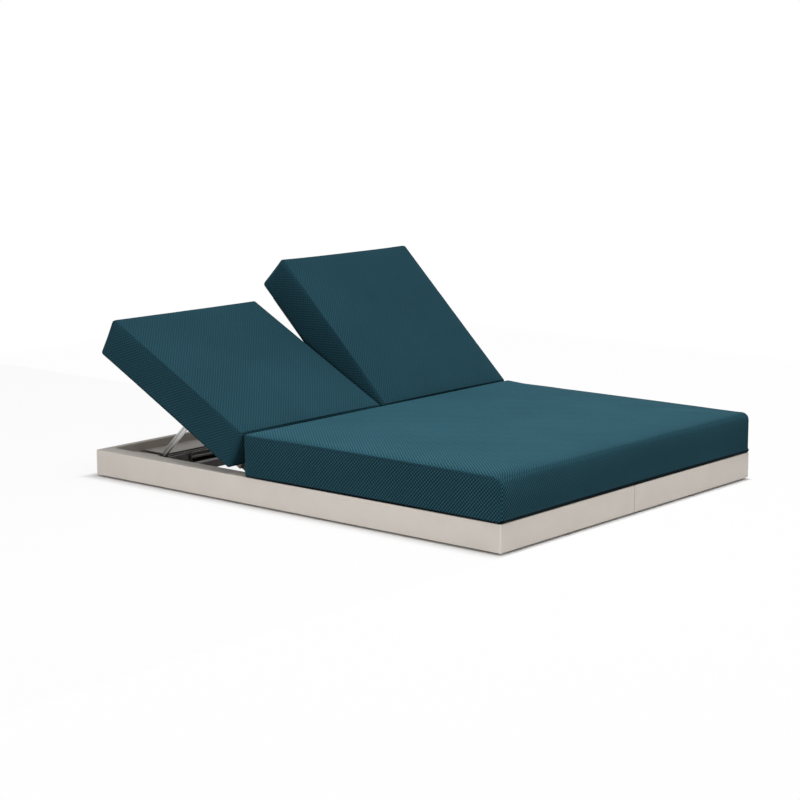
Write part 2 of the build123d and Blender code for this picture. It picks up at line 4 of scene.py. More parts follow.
import bpy
import numpy as np
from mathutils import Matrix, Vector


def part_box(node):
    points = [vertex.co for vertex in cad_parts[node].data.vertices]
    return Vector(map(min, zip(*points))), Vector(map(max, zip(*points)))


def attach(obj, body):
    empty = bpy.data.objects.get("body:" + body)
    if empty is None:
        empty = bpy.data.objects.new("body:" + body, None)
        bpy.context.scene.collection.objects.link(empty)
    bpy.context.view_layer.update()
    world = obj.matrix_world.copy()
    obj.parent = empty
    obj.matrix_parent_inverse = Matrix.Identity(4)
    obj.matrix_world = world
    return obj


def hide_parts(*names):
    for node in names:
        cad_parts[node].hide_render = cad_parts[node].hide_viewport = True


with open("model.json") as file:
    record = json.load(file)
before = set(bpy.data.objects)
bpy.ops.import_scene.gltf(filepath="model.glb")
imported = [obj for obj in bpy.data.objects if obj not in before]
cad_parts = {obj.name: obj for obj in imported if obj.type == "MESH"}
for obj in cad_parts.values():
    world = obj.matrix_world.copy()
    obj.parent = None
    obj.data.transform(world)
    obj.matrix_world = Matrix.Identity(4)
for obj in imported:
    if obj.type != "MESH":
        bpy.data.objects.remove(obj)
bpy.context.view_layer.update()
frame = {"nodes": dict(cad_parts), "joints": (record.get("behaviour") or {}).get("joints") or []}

# Viewpoint: a long lens in front of the left seat's foot corner, at about the height of a
# standing person's eyes, turned towards the middle of the lounger and a little down.
lens_data = bpy.data.cameras.new("viewpoint")
lens_data.sensor_width = 36
lens_data.lens = 92.049
lens_data.clip_end = 200
viewpoint = bpy.data.objects.new("viewpoint", lens_data)
viewpoint.location = (-6.0872, -5.0060, 1.6831)
viewpoint.rotation_euler = (math.radians(90 - 9.8865), math.radians(0.0351), math.radians(-49.9633))
bpy.context.scene.collection.objects.link(viewpoint)
bpy.context.scene.camera = viewpoint
bpy.context.scene.view_settings.view_transform = "Standard"


# Studio floor: a wide white sheet of matt board that the lounger stands on. Its white for rays from the
# eye is none at the rails, which keeps the real dark line under them, and fades into the room's white
# further out. Painted light whitens the floor's shadow just past the right and foot rails and glows on
# the floor inside the platform short of the head shelf, and painted shade turns the board near-black
# under the head shelf.
def add(tree, kind, *values, operation=None, **named):
    """One more node in the tree. A value that is a socket is linked to the input, and any other
    is set on it."""
    made = tree.nodes.new(kind)
    if operation:
        made.operation = operation
    for key, value in [*enumerate(values), *named.items()]:
        socket = made.inputs[key if isinstance(key, int) else key.replace("_", " ")]
        if isinstance(value, bpy.types.NodeSocket):
            tree.links.new(value, socket)
        else:
            socket.default_value = value
    return made


def new_finish(name):
    """A material with an empty node tree, and the node that its shader goes to."""
    finish = bpy.data.materials.new(name)
    finish.use_nodes = True
    finish.node_tree.nodes.clear()
    return finish, finish.node_tree, finish.node_tree.nodes.new("ShaderNodeOutputMaterial")


def reckon(tree, operation, *values):
    """What a sum or another operation makes of sockets and numbers."""
    return add(tree, "ShaderNodeMath", *values, operation=operation).outputs[0]


def smooth_step(tree, value, start, end, first, last):
    """The value eased from first at start to last at end."""
    eased = add(tree, "ShaderNodeMapRange", value, start, end, first, last)
    eased.interpolation_type = "SMOOTHSTEP"
    return eased.outputs[0]


def seen_directly(tree):
    """1 for rays from the eye, straight or by way of a mirror or glass, and 0 for the light that
    others bring."""
    path = tree.nodes.new("ShaderNodeLightPath")
    mirrored = reckon(tree, "MAXIMUM", path.outputs["Is Camera Ray"], path.outputs["Is Glossy Ray"])
    return reckon(tree, "MAXIMUM", mirrored, path.outputs["Is Transmission Ray"])


floor_reach, foot_width, foot_length = 40.0, 1.6, 2.0
side_fade, painted_glow_inside_fade, side_share = (0.0, 0.07), (-0.14, -0.07), 0.90
painted_glow_right_fade, painted_glow_foot_fade, painted_glow_share = (0.800, 0.812), (-1.006, -1.022), 0.97
far_fade, painted_glow_and_shade_edge, painted_shade_under_fade = (0.3, 3.0), (0.76, 0.80), (-0.05, -0.03)
board_grey, painted_shade_grey = 0.86, 0.06
floor_mesh = bpy.data.meshes.new("studio_floor")
floor_mesh.from_pydata(
    [(-floor_reach, -floor_reach, 0), (floor_reach, -floor_reach, 0),
     (floor_reach, floor_reach, 0), (-floor_reach, floor_reach, 0)], [], [(0, 1, 2, 3)])
studio_floor = bpy.data.objects.new("studio_floor", floor_mesh)
bpy.context.scene.collection.objects.link(studio_floor)
board, tree, output = new_finish("matt_board")
place = add(tree, "ShaderNodeTexCoord").outputs["Object"]
from_middle = add(tree, "ShaderNodeVectorMath", place, operation="ABSOLUTE").outputs[0]
past_rails = add(tree, "ShaderNodeVectorMath", from_middle, (foot_width / 2, foot_length / 2, 0),
                 operation="SUBTRACT").outputs[0]
outside = reckon(tree, "MAXIMUM", *add(tree, "ShaderNodeSeparateXYZ", past_rails).outputs[:2])
rightward, headward = add(tree, "ShaderNodeSeparateXYZ", place).outputs[:2]
whiteness = smooth_step(tree, outside, *side_fade, 0.0, side_share)
# Painted light: the floor glows white inside the platform short of the head shelf, and just past the
# right and foot rails over their shadow.
for patch in (reckon(tree, "MULTIPLY", smooth_step(tree, outside, *painted_glow_inside_fade, side_share, 0.0),
                     smooth_step(tree, headward, *painted_glow_and_shade_edge, 1.0, 0.0)),
              smooth_step(tree, rightward, *painted_glow_right_fade, 0.0, painted_glow_share),
              smooth_step(tree, headward, *painted_glow_foot_fade, 0.0, painted_glow_share),
              smooth_step(tree, outside, *far_fade, 0.0, 1.0)):
    whiteness = reckon(tree, "MAXIMUM", whiteness, patch)
share = reckon(tree, "MULTIPLY", whiteness, seen_directly(tree))
# Painted shade: the board turns near-black under the head shelf.
painted_shade_under_shelf = reckon(tree, "MULTIPLY", smooth_step(tree, outside, *painted_shade_under_fade, 1.0, 0.0),
                     smooth_step(tree, headward, *painted_glow_and_shade_edge, 0.0, 1.0))
grey = smooth_step(tree, painted_shade_under_shelf, 0.0, 1.0, board_grey, painted_shade_grey)
matt = add(tree, "ShaderNodeBsdfDiffuse", Color=grey).outputs[0]
white = add(tree, "ShaderNodeEmission", Color=(1, 1, 1, 1), Strength=1.0).outputs[0]
surface = add(tree, "ShaderNodeMixShader", share, matt, white).outputs[0]
tree.links.new(surface, output.inputs["Surface"])
floor_mesh.materials.append(board)

# Studio light: a white room that shows as plain white, a broad lamp high over the seat, a low one
# beside the left rail, and a weaker low one in front of the foot end.
room_level = 0.33
room = bpy.data.worlds.new("white_room")
bpy.context.scene.world = room
room.use_nodes = True
tree = room.node_tree
tree.nodes.clear()
lit = add(tree, "ShaderNodeBackground", Color=(1, 1, 1, 1), Strength=room_level).outputs[0]
shown = add(tree, "ShaderNodeBackground", Color=(1, 1, 1, 1), Strength=1.0).outputs[0]
room_mix = add(tree, "ShaderNodeMixShader", seen_directly(tree), lit, shown).outputs[0]
tree.links.new(room_mix, tree.nodes.new("ShaderNodeOutputWorld").inputs["Surface"])


def soft_lamp(name, place, aim, width, power):
    """A square lamp of that width at a place, facing the point aimed at."""
    data = bpy.data.lights.new(name, "AREA")
    data.size = width
    data.energy = power
    lamp = bpy.data.objects.new(name, data)
    direction = np.array(aim, float) - np.array(place, float)
    flat = math.hypot(direction[0], direction[1])
    lamp.location = place
    lamp.rotation_euler = (math.atan2(flat, -direction[2]), 0,
                           math.atan2(direction[1], direction[0]) - math.pi / 2)
    bpy.context.scene.collection.objects.link(lamp)


lit_middle = (0.0, 0.0, 0.2)
soft_lamp("overhead_lamp", (-0.5, -1.0, 4.8), lit_middle, 3.0, 175)
soft_lamp("side_lamp", (-5.5, 0.2, 1.6), lit_middle, 2.5, 52)
soft_lamp("foot_lamp", (-1.5, -6.0, 1.6), lit_middle, 2.5, 30)


# Perimeter rails: box extrusions of aluminium, mitred and joined at the corners, powder coated in a warm
# light grey. The coat has a fine orange-peel surface. Painted shade darkens its top faces and a band
# beside the middle seams, and a painted highlight pales it at the upright corners.
def between(tree, value, start, end, first=0.0, last=1.0):
    """The value mapped from first at start to last at end, and held past both."""
    return add(tree, "ShaderNodeMapRange", value, start, end, first, last).outputs[0]


def blend(tree, share, one, other):
    """A colour that goes from one to the other by a share. Each of the two is a socket or a colour."""
    mixed = tree.nodes.new("ShaderNodeMix")
    mixed.data_type = "RGBA"
    tree.links.new(share, mixed.inputs["Factor"])
    for socket, value in ((mixed.inputs[6], one), (mixed.inputs[7], other)):
        if isinstance(value, bpy.types.NodeSocket):
            tree.links.new(value, socket)
        else:
            socket.default_value = (*value, 1)
    return mixed.outputs[2]


def coat(name, colour, shade, roughness, grain=900.0, depth=0.00006):
    """Powder coat. A fine noise on the piece's own coordinates is its peel, and a broad one turns
    the colour a little towards its shade and the surface a little rougher."""
    finish, tree, output = new_finish(name)
    place = add(tree, "ShaderNodeTexCoord").outputs["Object"]
    peel = add(tree, "ShaderNodeTexNoise", Vector=place, Scale=grain, Detail=2.0).outputs[0]
    cloud = add(tree, "ShaderNodeTexNoise", Vector=place, Scale=7.0, Detail=3.0).outputs[0]
    toned = blend(tree, between(tree, cloud, 0.35, 0.65), colour, shade)
    rough = between(tree, peel, 0.3, 0.7, roughness - 0.06, roughness + 0.06)
    bump = add(tree, "ShaderNodeBump", Strength=1.0, Distance=depth, Height=peel).outputs[0]
    skin = add(tree, "ShaderNodeBsdfPrincipled", Base_Color=toned, Roughness=rough, Normal=bump,
               Specular_IOR_Level=0.4)
    tree.links.new(skin.outputs[0], output.inputs["Surface"])
    return finish


def wear(finish, *names):
    """Gives CAD nodes a finish."""
    for name in names:
        for held in frame["nodes"][name].material_slots:
            held.material = finish


def tint(finish, colour, mask):
    """Blends another colour into a finish by a mask, a function of its tree and its three
    coordinates."""
    tree = finish.node_tree
    place = next(node for node in tree.nodes if node.type == "TEX_COORD").outputs["Object"]
    base = next(node for node in tree.nodes if node.type == "BSDF_PRINCIPLED").inputs["Base Color"]
    share = mask(tree, *add(tree, "ShaderNodeSeparateXYZ", place).outputs)
    tree.links.new(blend(tree, share, base.links[0].from_socket, colour), base)


def on_top(tree, x, y, z):
    """The share of the darker colour, painted shade on the rails' top faces, and 0 below them."""
    return between(tree, z, rail_top - 0.0008, rail_top - 0.0003, 0.0, top_painted_shade)


def on_corner(tree, x, y, z):
    """The share of the paler colour, a painted highlight at the upright outer edges of the mitres, and 0
    past corner_width from them."""
    past_x, past_y = (
        between(tree, reckon(tree, "ABSOLUTE", value), half - corner_width,
                half - corner_width + 0.0015)
        for value, half in ((x, rail_half_width), (y, rail_half_length)))
    return reckon(tree, "MULTIPLY", reckon(tree, "MULTIPLY", past_x, past_y), corner_painted_highlight)


def on_seam(tree, x, y, z):
    """The share of the darker colour, painted shade beside the middle seams of the foot and head rails,
    and 0 past seam_reach from the middle."""
    return between(tree, reckon(tree, "ABSOLUTE", x), seam_reach - 0.0008, seam_reach, seam_painted_shade, 0.0)


rail_half_width, _, rail_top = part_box("side_rail_right")[1]
rail_half_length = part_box("head_rail_right")[1][1]
top_painted_shade, corner_painted_highlight, corner_width, seam_painted_shade, seam_reach = 0.75, 0.35, 0.0055, 0.5, 0.0030
rail_coat = coat("rail_coat", (0.705, 0.650, 0.590), (0.675, 0.622, 0.564), 0.50)
# Painted shade on the rails' top faces.
tint(rail_coat, (0.47, 0.430, 0.385), on_top)
# Painted highlight at the upright outer corners of the mitres.
tint(rail_coat, (0.92, 0.89, 0.85), on_corner)
# Painted shade beside the middle seams of the foot and head rails.
tint(rail_coat, (0.40, 0.37, 0.34), on_seam)
wear(rail_coat, "side_rail_left", "side_rail_right", "foot_rail_left", "foot_rail_right",
     "head_rail_left", "head_rail_right")

# Corner brackets and splice sleeves: bare mill-finish aluminium inside the rails, where the
# mitres and the middle seams meet. Only a hairline of them shows at the seams.
def bare_metal(name, colour, roughness, stretch):
    """Bare metal with fine drawn lines: a noise stretched by the three factors along the piece's
    own axes."""
    finish, tree, output = new_finish(name)
    place = add(tree, "ShaderNodeTexCoord").outputs["Object"]
    drawn = add(tree, "ShaderNodeVectorMath", place, stretch, operation="MULTIPLY").outputs[0]
    lines = add(tree, "ShaderNodeTexNoise", Vector=drawn, Scale=600.0, Detail=4.0).outputs[0]
    rough = between(tree, lines, 0.3, 0.7, roughness - 0.08, roughness + 0.08)
    bump = add(tree, "ShaderNodeBump", Strength=0.6, Distance=0.00003, Height=lines).outputs[0]
    skin = add(tree, "ShaderNodeBsdfPrincipled", Base_Color=(*colour, 1), Metallic=1.0, Roughness=rough,
               Normal=bump)
    tree.links.new(skin.outputs[0], output.inputs["Surface"])
    return finish


mill_finish = bare_metal("mill_finish", (0.62, 0.62, 0.61), 0.42, (1.0, 0.04, 1.0))
wear(mill_finish, "corner_brackets", "splice_sleeves")

# Head shelves: folded aluminium sheet between the rails at the head end, coated like the rails, with
# slots through which the legs of the backs swing down. Painted shade darkens the front face of their
# front flange, and a painted highlight lightens the lip in front of it and a line along it.
def painted_flange_shade(tree, x, y, z):
    """1 on the front face of the shelves' front flange, which is darkened as painted shade."""
    return between(tree, y, shelf_front + skin_depth, shelf_front + 2 * skin_depth, 1.0, 0.0)


def painted_lip_highlight(tree, x, y, z):
    """1 on the narrow lip in front of the flange and on a line along the flange above it, both lightened
    as a painted highlight."""
    lip = between(tree, y, shelf_front - 2 * skin_depth, shelf_front - skin_depth, 1.0, 0.0)
    off_line = reckon(tree, "ABSOLUTE", reckon(tree, "SUBTRACT", z, highlight_line_height))
    line = reckon(tree, "MULTIPLY", between(tree, off_line, 0.0014, 0.0017, 1.0, 0.0),
                  painted_flange_shade(tree, x, y, z))
    return reckon(tree, "MAXIMUM", lip, line)


lip_width, line_drop, skin_depth = 0.006, 0.008, 0.0004
shelf_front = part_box("head_shelf_left")[0][1] + lip_width
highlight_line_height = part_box("head_shelf_left")[1][2] - line_drop
shelf_coat = coat("shelf_coat", (0.610, 0.563, 0.514), (0.585, 0.540, 0.493), 0.52)
# Painted shade on the front face of the flange.
tint(shelf_coat, (0.07, 0.066, 0.060), painted_flange_shade)
# Painted highlight on the lip and on a line along the flange.
tint(shelf_coat, (0.97, 0.96, 0.94), painted_lip_highlight)
wear(shelf_coat, "head_shelf_left", "head_shelf_right")

# Beams, ledges and seat slats: aluminium box tubes and angle strips inside the platform, coated
# in the same grey a shade darker, with the seat cushion lying on the slats.
deck_coat = coat("deck_coat", (0.36, 0.335, 0.305), (0.335, 0.312, 0.285), 0.56)
wear(deck_coat, "hinge_beam", "centre_beam_foot", "centre_beam_head", "seat_ledge_left",
     "seat_ledge_right", *[f"seat_slat_{number}" for number in range(1, 8)])

# Back frames: aluminium box tubes and flat slats under each back cushion, coated a little lighter
# than the deck, with a moulded plug in the head end of each long tube.
arris_steps, corner_places, painted_shade_rows, foot_painted_shade_rows, seam_width = 5, 6, 3, 5, 0.0026
right_panel, foot_panel, top_panel = 1, 2, 5


def side_steps(size, arris, corner, coarse):
    """Places along one side of a block: fine equal steps over its two rounded ends, middling ones
    as far as the rounding of its corners reaches, and coarse ones between."""
    ends = np.concatenate([np.linspace(0, arris, arris_steps + 1)[:-1],
                           np.linspace(arris, corner, corner_places)])
    spans = max(2, round((size - 2 * corner) / coarse))
    middle = np.linspace(corner - size / 2, size / 2 - corner, spans + 1)
    return np.concatenate([ends[:-1] - size / 2, middle, size / 2 - ends[:-1][::-1]])


def quarter_disc(points, past, radius):
    """Turns the square past an arris into a quarter disc: each of the two coordinates gives way by
    its own distance past times one minus the root of one minus half the other's share squared."""
    return points - np.sign(points) * past * (1 - np.sqrt(1 - (past[:, ::-1] / radius) ** 2 / 2))


def rounded_block(size, arris, corners, rolls, coarse, draw=0.0, seam=0.0):
    """A block with rounded arrises, as points, quads, a map of each face in metres, the number of the
    panel that each quad is on, whether it is in the strip round the bottom arris that the cushions
    darken with painted shade, and each point's distance from the middle of the nearest arris, in the
    block's own axes, with zero at the middle of its underside. Six grids meet along the arrises. A point
    keeps its nearest place in the block shrunk by the arris radius and goes that radius out from there.
    The four sides draw in by a parabola along their length, the upright corners and the top arrises are
    rounded further, and a narrow bell curve in the distance from the arris lays a seam in."""
    extent = np.array(size)
    steps = [side_steps(side, arris, max(*corners, *rolls), coarse) for side in extent]
    counts = [len(step) for step in steps]
    quads, charts, panels, painted_shade_strip = [], [], [], []
    for axis in range(3):
        one, other = (axis + 1) % 3, (axis + 2) % 3
        grid = np.stack(np.meshgrid(np.arange(counts[one] - 1), np.arange(counts[other] - 1),
                                    indexing="ij"), -1)
        across, along = ((1, 2), (0, 2), (0, 1))[axis]
        for last in (0, counts[axis] - 1):
            turns = ((0, 0), (1, 0), (1, 1), (0, 1)) if last else ((0, 0), (0, 1), (1, 1), (1, 0))
            index = np.full((grid[..., 0].size, 4, 3), last)
            index[:, :, [one, other]] = grid.reshape(-1, 1, 2) + np.array(turns)
            quads.append(index)
            to_right = (1 if last else -1) * (-1 if axis == 1 else 1)
            charts.append(np.stack([to_right * steps[across][index[..., across]],
                                    steps[along][index[..., along]]], -1))
            lowest = index.min(axis=1)
            from_side = np.minimum(lowest, np.array(counts) - 2 - lowest)
            panels.append(np.full(len(index), 2 * axis + (last > 0)))
            if axis == 2:
                painted_shade_strip.append((from_side[:, :2].min(axis=1) < arris_steps) & (last == 0))
            else:
                rows = foot_painted_shade_rows if panels[-1][0] == foot_panel else painted_shade_rows
                painted_shade_strip.append(lowest[:, 2] < rows)
    quads = np.concatenate(quads)
    used, faces = np.unique(np.ravel_multi_index(np.moveaxis(quads, -1, 0), counts), return_inverse=True)
    index = np.unravel_index(used, counts)
    flat = np.stack([steps[axis][index[axis]] for axis in range(3)], -1)
    inner = np.clip(flat, arris - extent / 2, extent / 2 - arris)
    out = (flat - inner) / np.linalg.norm(flat - inner, axis=1, keepdims=True)
    points = inner + arris * out
    share = 2 * points / extent
    points[:, :2] -= draw * out[:, :2] * (1 - share[:, 1::-1] ** 2)
    radius = np.where(points[:, 1] > 0, corners[1], corners[0])[:, None]
    past = np.clip(np.abs(points[:, :2]) - (extent[:2] / 2 - radius), 0, None)
    points[:, :2] = quarter_disc(points[:, :2], past, radius)
    for panel, roll in enumerate(rolls):
        axes = [panel // 2, 2]
        past = np.clip(points[:, axes] * (2 * (panel % 2) - 1, 1) - (extent[axes] / 2 - roll), 0, None)
        points[:, axes] = quarter_disc(points[:, axes], past, roll)
    tilt = np.arcsin(np.clip(np.abs(out[:, 2]), 0, 1))
    nearly_upright, nearly_level = tilt < 0.001, tilt > 1.57
    inset = np.where(nearly_level, np.min(extent[:2] / 2 - arris - np.abs(flat[:, :2]), axis=1),
                     np.where(nearly_upright, extent[2] / 2 - arris - np.abs(flat[:, 2]), 0))
    from_seam = arris * np.abs(tilt - math.pi / 4) + np.clip(inset, 0, None)
    points -= out * (seam * np.exp(-((from_seam / seam_width) ** 2)))[:, None]
    points[:, 2] += extent[2] / 2
    return (points, faces.reshape(-1, 4), np.concatenate(charts), np.concatenate(panels),
            np.concatenate(painted_shade_strip), from_seam)


def stood_up(points, angle):
    """Turns points from a back's own axes, across, up it and out of it from the hinge line, to rest."""
    turn = math.radians(angle)
    return np.stack([
        points[:, 0],
        hinge_y + points[:, 1] * math.cos(turn) - points[:, 2] * math.sin(turn),
        hinge_z + points[:, 1] * math.sin(turn) + points[:, 2] * math.cos(turn)], -1)


def points_of(mesh):
    """The points of a mesh as rows of three coordinates."""
    held = np.empty(len(mesh.vertices) * 3)
    mesh.vertices.foreach_get("co", held)
    return held.reshape(-1, 3)


def laid_flat(node, angle):
    """The points of a CAD node in a back's own axes."""
    solid = points_of(frame["nodes"][node].data)
    turn = math.radians(angle)
    behind, above = solid[:, 1] - hinge_y, solid[:, 2] - hinge_z
    return np.stack([solid[:, 0], behind * math.cos(turn) + above * math.sin(turn),
                     above * math.cos(turn) - behind * math.sin(turn)], -1)


def make_piece(name, points, faces, finish, body):
    """A smooth new piece of those points and faces that rides on a body."""
    mesh = bpy.data.meshes.new(name)
    mesh.from_pydata(points, [], faces.tolist())
    mesh.polygons.foreach_set("use_smooth", np.ones(len(faces), bool))
    mesh.materials.append(finish)
    piece = bpy.data.objects.new(name, mesh)
    bpy.context.scene.collection.objects.link(piece)
    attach(piece, body)
    return piece


back_coat = coat("back_coat", (0.40, 0.372, 0.340), (0.375, 0.349, 0.320), 0.54)
black_plastic = coat("black_plastic", (0.022, 0.022, 0.023), (0.030, 0.030, 0.031), 0.55, grain=1500.0)
joints = {joint["name"]: joint for joint in frame["joints"]}
hinge_y, hinge_z = joints["left_back_hinge"]["pos_m"][1:]
rest_angles = {side: -joints[f"{side}_back_hinge"]["range_deg"][0] for side in ("left", "right")}
plug_depth, plug_arris, plug_corner, plug_roll, plug_step = 0.004, 0.0012, 0.0016, 0.0013, 0.006
for side, angle in rest_angles.items():
    wear(back_coat, f"back_stile_{side}_outer", f"back_stile_{side}_inner", f"back_rail_{side}_foot",
         f"back_rail_{side}_middle", f"back_rail_{side}_head", f"back_slats_{side}")
    for place_name in ("outer", "inner"):
        tube = laid_flat(f"back_stile_{side}_{place_name}", angle)
        low, high = tube.min(0), tube.max(0)
        points, faces = rounded_block((high[0] - low[0], plug_depth, high[2] - low[2]), plug_arris,
                                      (plug_corner, plug_corner), [plug_roll] * 4, plug_step)[:2]
        points += [(low[0] + high[0]) / 2, high[1] + plug_depth / 2, low[2]]
        make_piece(f"stile_plug_{side}_{place_name}", stood_up(points, angle), faces, black_plastic,
                   f"{side}_back")

# Hinge brackets, hinge arms and rack rails: bent and cut steel sheet, coated dark grey, bolted to
# the hinge beam, pushed into the stiles and welded to the cross members, which wear the same coat.
dark_coat = coat("dark_coat", (0.085, 0.078, 0.072), (0.070, 0.065, 0.060), 0.50, grain=1200.0)
# The rear cross members wear this dark coat instead of the deck's grey as painted shade in the bay under
# the head shelf.
wear(dark_coat, "rack_rails_left", "rack_rails_right", "rear_crossmembers")
for side in ("left", "right"):
    for place_name in ("outer", "inner"):
        wear(dark_coat, f"hinge_bracket_{side}_{place_name}", f"hinge_arm_{side}_{place_name}")

# Legs of the backs: grooved flat bars of brushed stainless steel, each pair with a round brace
# between them, and each leg with a moulded black shoe pushed over its foot end, round the foot pin.
brushed = bare_metal("brushed_steel", (0.66, 0.66, 0.65), 0.36, (1.0, 0.06, 1.0))
shoe_width, shoe_length, shoe_depth, shoe_past_end, end_depth = 0.015, 0.038, 0.024, 0.002, 0.0003
shoe_arris, shoe_corner, shoe_roll, shoe_step = 0.004, 0.006, 0.005, 0.006
for side in ("left", "right"):
    wear(brushed, f"stay_leg_{side}_outer", f"stay_leg_{side}_inner", f"stay_brace_{side}")
    pivot = np.array(joints[f"{side}_stay_pivot"]["pos_m"])
    for place_name in ("outer", "inner"):
        leg = points_of(frame["nodes"][f"stay_leg_{side}_{place_name}"].data)
        reach = np.linalg.norm((leg - pivot)[:, 1:], axis=1)
        foot = leg[reach > reach.max() - end_depth].mean(0)
        down = (foot - pivot)[1:] / np.linalg.norm((foot - pivot)[1:])
        points, faces = rounded_block((shoe_width, shoe_length, shoe_depth), shoe_arris,
                                      (shoe_corner, shoe_corner), [shoe_roll] * 4, shoe_step)[:2]
        along = points[:, 1] + reach.max() + shoe_past_end - shoe_length / 2
        out = points[:, 2] - shoe_depth / 2
        shoe = np.stack([points[:, 0] + (leg[:, 0].min() + leg[:, 0].max()) / 2,
                         pivot[1] + along * down[0] - out * down[1],
                         pivot[2] + along * down[1] + out * down[0]], -1)
        make_piece(f"leg_shoe_{side}_{place_name}", shoe, faces, black_plastic, f"{side}_stay")

# Pins and bolts: turned stainless steel, a little brighter and smoother than the legs.
turned_steel = bare_metal("turned_steel", (0.60, 0.60, 0.60), 0.28, (0.05, 1.0, 1.0))
wear(turned_steel, "hinge_pins", "stay_pins_left", "stay_pins_right", "bracket_bolts")

# Glides and centre foot: dark grey moulded plastic with a matt surface, on which the rails and
# the centre beams stand on the floor.
glide_plastic = coat("glide_plastic", (0.16, 0.155, 0.15), (0.14, 0.135, 0.13), 0.62, grain=1500.0)
wear(glide_plastic, "glides", "centre_foot")


# Seat cushion: one block of firm foam in a tight cover of coarse outdoor mesh knit. The top and
# bottom panels are sewn to a band round the sides, with the seam turned in along the arrises.
def knit(name):
    """Outdoor mesh knit on the cover's own map, in metres. Two cosine waves cross on the bias, one of
    them stronger, which gives staggered loops that run in diagonal rows; a fine noise frays them, and a
    broad one turns the dye a little. The loops stand out where the cover is slack and lie flatter where
    it is drawn tight. The colour is scaled by the painted light and shade that the cover carries: a
    lighter top, a darker band, a much darker strip round the bottom arris, and on the backs a top that
    darkens towards the head. The seam is a groove along the arris darkened with painted shade, with a
    row of stitches each side."""
    rows_across, rows_along, mean_height = 73.0, 70.0, 0.46
    stitch_length, row_from_seam = 0.0045, 0.0058
    finish, tree, output = new_finish(name)
    chart = add(tree, "ShaderNodeUVMap")
    chart.uv_map = "cover"
    across, along = add(tree, "ShaderNodeSeparateXYZ", chart.outputs[0]).outputs[:2]

    def sums(*terms):
        """Weighted sum of sockets, each term a socket and its weight."""
        total = None
        for socket, weight in terms:
            total = reckon(tree, "MULTIPLY_ADD", socket, weight, total or 0.0)
        return total

    def carried(attribute):
        """A number that the cover carries from point to point."""
        held = add(tree, "ShaderNodeAttribute")
        held.attribute_name = attribute
        return held.outputs["Fac"]

    waves = [reckon(tree, "COSINE", sums((across, 2 * math.pi * rows_across * sign),
                                         (along, 2 * math.pi * rows_along))) for sign in (-1, 1)]
    yarn = add(tree, "ShaderNodeTexNoise", Vector=chart.outputs[0], Scale=700.0, Detail=2.0).outputs[0]
    frayed = sums((waves[0], 0.68), (waves[1], 0.55), (yarn, 0.9))
    raised = reckon(tree, "SUBTRACT", smooth_step(tree, frayed, -0.35, 1.35, 0.0, 1.0), mean_height)
    raised = reckon(tree, "MULTIPLY_ADD", raised, carried("relief"), mean_height)
    dye = add(tree, "ShaderNodeTexNoise", Vector=chart.outputs[0], Scale=3.0, Detail=3.0).outputs[0]
    tone = reckon(tree, "MULTIPLY", between(tree, dye, 0.3, 0.7, 0.93, 1.07), carried("shade"))
    from_seam = carried("from_seam")
    # Painted shade darkens the cover along the seam, where the bump also presses in a groove.
    seam_groove_and_shade = smooth_step(tree, from_seam, 0.0004, 0.0022, 0.55, 1.0)
    off_row = reckon(tree, "ABSOLUTE", reckon(tree, "SUBTRACT", from_seam, row_from_seam))
    along_row = sums((across, 2 * math.pi / stitch_length), (along, 2 * math.pi / stitch_length))
    stitch = reckon(tree, "MULTIPLY", between(tree, off_row, 0.0005, 0.0009, 1.0, 0.0),
                    between(tree, reckon(tree, "COSINE", along_row), -0.5, -0.1))
    tone = reckon(tree, "MULTIPLY", tone, seam_groove_and_shade)
    sewn = blend(tree, stitch, blend(tree, raised, knit_low, knit_high), thread)
    dyed = add(tree, "ShaderNodeVectorMath", sewn, tone, operation="MULTIPLY").outputs[0]
    height = sums((raised, 1.0), (stitch, 0.7), (seam_groove_and_shade, 1.5))
    bump = add(tree, "ShaderNodeBump", Strength=0.8, Distance=0.0007, Height=height).outputs[0]
    skin = add(tree, "ShaderNodeBsdfPrincipled", Base_Color=dyed, Roughness=0.9, Normal=bump,
               Specular_IOR_Level=0.05, Sheen_Weight=0.10, Sheen_Roughness=0.35,
               Sheen_Tint=(0.30, 0.80, 0.95, 1))
    tree.links.new(skin.outputs[0], output.inputs["Surface"])
    return finish


def swell(cushion, loose, cap):
    """Blows the cover up as cloth, sewn down where loose is 0, by quarters. A point then goes the
    hyperbolic tangent of its way over the cap, times the cap, so it never goes further than that."""
    pressure, frames = 4, 20
    mesh = cushion.data
    start = points_of(mesh)
    sewn = cushion.vertex_groups.new(name="sewn")
    for weight in (0.25, 0.5, 0.75, 1.0):
        held = np.nonzero(np.abs(1 - loose - weight) < 0.125)[0]
        sewn.add(held.tolist(), weight, "REPLACE")
    cloth = cushion.modifiers.new("swell", "CLOTH")
    cloth.settings.quality = 4
    cloth.settings.use_pressure = True
    cloth.settings.uniform_pressure_force = pressure
    cloth.settings.vertex_group_mass = "sewn"
    cloth.settings.bending_stiffness = 2
    cloth.settings.effector_weights.gravity = 0
    for step in range(1, frames + 1):
        bpy.context.scene.frame_set(step)
    end = points_of(cushion.evaluated_get(bpy.context.evaluated_depsgraph_get()).data)
    cushion.modifiers.remove(cloth)
    bpy.context.scene.frame_set(1)
    way = (end - start) * loose[:, None]
    far = np.maximum(np.linalg.norm(way, axis=1, keepdims=True), 1e-9)
    way *= cap * np.tanh(far / cap) / far
    mesh.vertices.foreach_set("co", (start + way).ravel())
    mesh.update()


